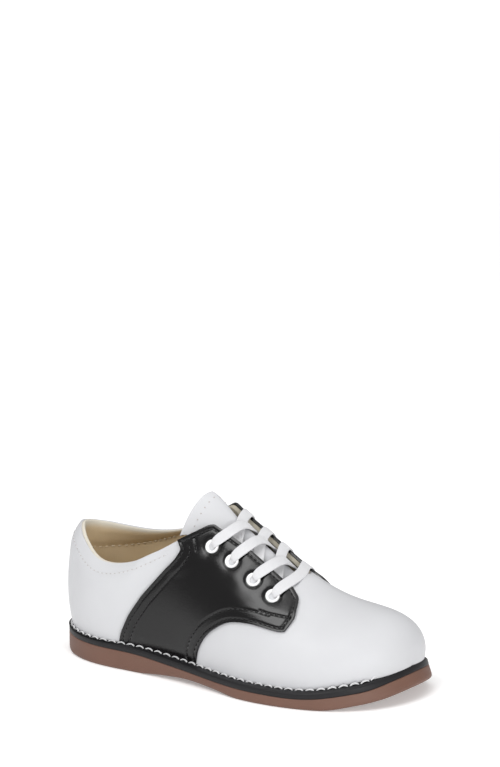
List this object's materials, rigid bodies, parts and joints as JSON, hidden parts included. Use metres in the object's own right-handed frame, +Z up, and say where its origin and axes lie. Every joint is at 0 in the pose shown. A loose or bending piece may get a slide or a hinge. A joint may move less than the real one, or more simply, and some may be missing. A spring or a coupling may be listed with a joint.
{
  "type": "oxford shoe",
  "caption": "Child's saddle oxford shoe, right foot: white leather upper with a black saddle, flat white laces in ring eyelets, stitched black welt and brown rubber sole.",
  "frame": {"origin": "on the ground under the middle of the shoe's box", "axes": "+X from heel to toe, -Y the lateral (outer) side of this right shoe, +Z up"},
  "size_m": [0.1766, 0.0713, 0.0803],
  "materials": {
    "white_leather": "smooth white leather, soft sheen",
    "black_leather": "smooth black leather, semi-gloss",
    "tan_lining": "matte tan lining leather",
    "brown_rubber": "moulded brown rubber, matte",
    "black_welt": "black stitched welt strip, satin",
    "white_cord": "flat woven white lace",
    "white_enamel": "white enamelled ring"
  },
  "bodies": {
    "root": {"eyelet_lateral_1": "white_enamel", "eyelet_lateral_2": "white_enamel", "eyelet_lateral_3": "white_enamel", "eyelet_lateral_4": "white_enamel", "eyelet_medial_1": "white_enamel", "eyelet_medial_2": "white_enamel", "eyelet_medial_3": "white_enamel", "eyelet_medial_4": "white_enamel", "insole": "tan_lining", "lace_bar": "white_cord", "lace_cross_1": "white_cord", "lace_cross_2": "white_cord", "lace_cross_3": "white_cord", "outsole": "brown_rubber", "saddle_lateral": "black_leather", "saddle_medial": "black_leather", "tongue": "white_leather", "upper": "white_leather", "welt": "black_welt"}
  },
  "joints": []
}
